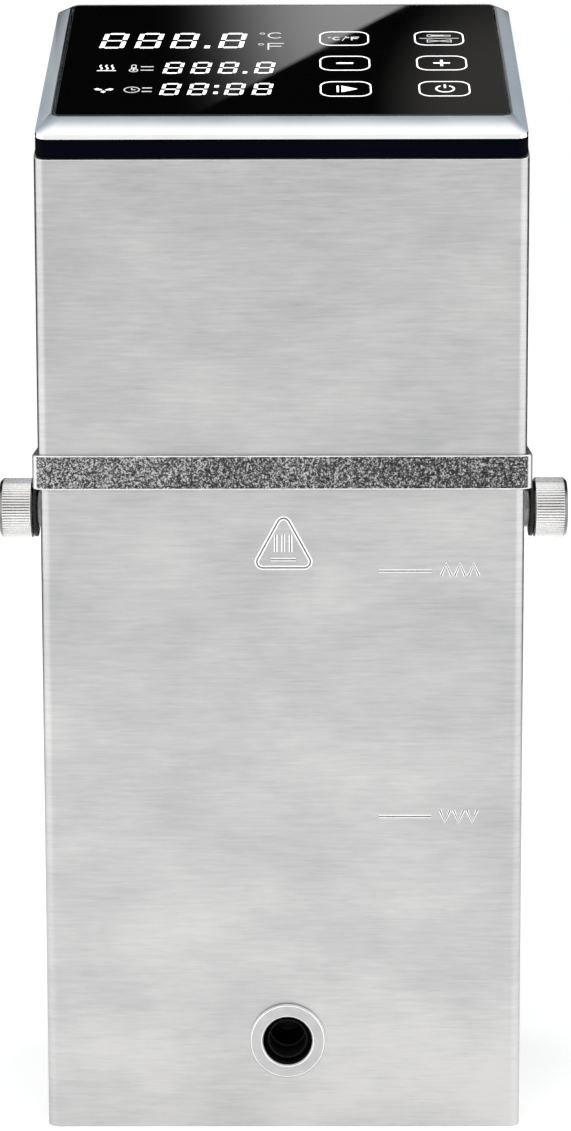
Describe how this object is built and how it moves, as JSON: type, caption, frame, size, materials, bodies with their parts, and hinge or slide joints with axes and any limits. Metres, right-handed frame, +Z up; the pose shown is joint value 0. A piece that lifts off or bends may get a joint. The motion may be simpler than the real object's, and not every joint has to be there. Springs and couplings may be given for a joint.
{
  "type": "sous vide circulator",
  "caption": "Upright immersion circulator: inclined touch panel on a steel head, removable pump sleeve with front outlet, side thumb screws and a rear screw clamp.",
  "frame": {"origin": "centre of the sleeve's base, on the surface it stands on", "axes": "+Z up, -Y out of the front face with the outlet, +X to the right seen from the front"},
  "size_m": [0.1556, 0.158, 0.2998],
  "materials": {
    "brushed_steel": "brushed",
    "bright_metal": "polished",
    "machined_steel": "machined",
    "collar_metal": "hammered",
    "brass": "satin",
    "aluminium": "satin",
    "black_glass": "polished",
    "band_plastic": "gloss",
    "black_plastic": "matt",
    "rubber": "matt",
    "white_plastic": "matt",
    "circuit_board": "satin",
    "ceramic": "glazed"
  },
  "bodies": {
    "root": {"upper_housing": "brushed_steel", "head_band": "band_plastic", "bezel_frame": "bright_metal", "control_glass": "black_glass", "display_board": "circuit_board", "digit_module_temperature": "black_plastic", "digit_module_set_temperature": "black_plastic", "digit_module_set_time": "black_plastic", "collar_strap": "collar_metal", "inner_deck": "machined_steel", "deck_gasket": "rubber", "left_weld_nut": "machined_steel", "right_weld_nut": "machined_steel", "motor_housing": "machined_steel", "motor_standoff_1": "brass", "motor_standoff_2": "brass", "motor_standoff_3": "brass", "motor_standoff_4": "brass", "shaft_seal": "rubber", "pump_column": "machined_steel", "pump_volute": "black_plastic", "pump_cover": "black_plastic", "heater_coil": "bright_metal", "heater_flange": "machined_steel", "heater_terminal_1": "ceramic", "heater_terminal_2": "ceramic", "temperature_probe": "bright_metal", "float_stem": "machined_steel", "float_stop_clip": "machined_steel", "power_board": "circuit_board", "control_board": "circuit_board", "heat_sink": "aluminium", "relay": "black_plastic", "fan_frame": "black_plastic", "mains_inlet": "black_plastic", "clamp_bracket": "brushed_steel", "bracket_screw_1": "machined_steel", "bracket_screw_2": "machined_steel", "bracket_screw_3": "machined_steel", "bracket_screw_4": "machined_steel", "clamp_nut": "machined_steel"},
    "sleeve": {"lower_sleeve": "brushed_steel", "base_plate": "machined_steel", "outlet_ring": "bright_metal", "outlet_grommet": "rubber", "wall_bumper_left": "rubber", "wall_bumper_right": "rubber"},
    "left_washer": {"left_thumb_washer": "black_plastic"},
    "left_screw": {"left_thumb_screw": "machined_steel"},
    "right_washer": {"right_thumb_washer": "black_plastic"},
    "right_screw": {"right_thumb_screw": "machined_steel"},
    "pump_rotor": {"pump_shaft": "bright_metal", "impeller": "black_plastic", "motor_rotor": "aluminium"},
    "fan": {"fan_rotor": "black_plastic"},
    "float": {"level_float": "white_plastic"},
    "clamp_pad": {"clamp_pad": "rubber"},
    "clamp_screw": {"clamp_screw": "machined_steel", "clamp_knob": "black_plastic"}
  },
  "joints": [
    {"name": "sleeve_removal", "type": "slide", "parent": "root", "child": "sleeve", "axis": [0, 0, -1], "range_m": [0, 0.17]},
    {"name": "left_screw_travel", "type": "slide", "parent": "root", "child": "left_washer", "axis": [-1, 0, 0], "range_m": [0, 0.003]},
    {"name": "left_screw_turn", "type": "hinge", "parent": "left_washer", "child": "left_screw", "pos_m": [-0.07, 0, 0.1623], "axis": [-1, 0, 0], "range_deg": [0, 1080]},
    {"name": "right_screw_travel", "type": "slide", "parent": "root", "child": "right_washer", "axis": [1, 0, 0], "range_m": [0, 0.003]},
    {"name": "right_screw_turn", "type": "hinge", "parent": "right_washer", "child": "right_screw", "pos_m": [0.07, 0, 0.1623], "axis": [1, 0, 0], "range_deg": [0, 1080]},
    {"name": "pump_spin", "type": "hinge", "parent": "root", "child": "pump_rotor", "pos_m": [0, 0.005, 0.1], "axis": [0, 0, 1], "continuous": true},
    {"name": "fan_spin", "type": "hinge", "parent": "root", "child": "fan", "pos_m": [0, 0.038, 0.257], "axis": [0, 1, 0], "continuous": true},
    {"name": "float_travel", "type": "slide", "parent": "root", "child": "float", "axis": [0, 0, 1], "range_m": [0, 0.012]},
    {"name": "clamp_travel", "type": "slide", "parent": "root", "child": "clamp_pad", "axis": [0, -1, 0], "range_m": [-0.009, 0.011]},
    {"name": "clamp_turn", "type": "hinge", "parent": "clamp_pad", "child": "clamp_screw", "pos_m": [0, 0.08, 0.15], "axis": [0, -1, 0], "range_deg": [-2592, 3168]}
  ],
  "couplings": [
    {"joint": "left_screw_turn", "follows": "left_screw_travel", "rad_per_m": 6283.2},
    {"joint": "right_screw_turn", "follows": "right_screw_travel", "rad_per_m": 6283.2},
    {"joint": "clamp_travel", "follows": "clamp_turn", "m_per_rad": 0.00019894}
  ]
}
